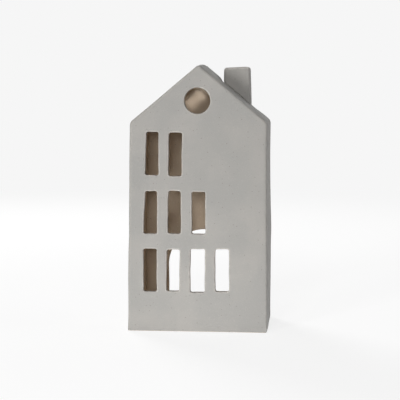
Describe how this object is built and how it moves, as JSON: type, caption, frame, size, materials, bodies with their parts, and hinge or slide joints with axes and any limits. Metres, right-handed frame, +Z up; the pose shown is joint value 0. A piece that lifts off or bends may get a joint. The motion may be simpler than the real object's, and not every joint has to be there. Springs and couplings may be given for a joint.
{
  "type": "tealight house",
  "caption": "Narrow gabled ceramic house with cut-out windows, a square chimney and an arch at the back, holding a tealight that glows through the openings.",
  "frame": {"origin": "middle of the underside, on the surface that the house stands on", "axes": "+Z up towards the ridge, -Y towards the viewer through the windows, +Y out of the arch at the back, +X to the viewer's right"},
  "size_m": [0.1, 0.07, 0.191],
  "materials": {
    "stoneware_glaze": "matte warm grey glaze with fine speckles",
    "raw_stoneware": "unglazed buff clay, slightly gritty",
    "cup_foil": "bright pressed foil",
    "candle_wax": "off-white pressed wax, softly translucent",
    "wick_cotton": "braided waxed cotton, unburnt",
    "tinned_steel": "thin bright tinned steel"
  },
  "bodies": {
    "house": {"front_wall": "stoneware_glaze", "back_wall": "stoneware_glaze", "left_wall": "stoneware_glaze", "right_wall": "stoneware_glaze", "left_roof": "stoneware_glaze", "right_roof": "stoneware_glaze", "chimney": "stoneware_glaze", "floor_slab": "raw_stoneware"},
    "tealight": {"tealight_cup": "cup_foil", "tealight_wax": "candle_wax", "tealight_wick": "wick_cotton", "wick_sustainer": "tinned_steel"}
  },
  "joints": [
    {"name": "tealight_slide", "type": "slide", "parent": "house", "child": "tealight", "axis": [0, 1, 0], "range_m": [0, 0.06]}
  ]
}
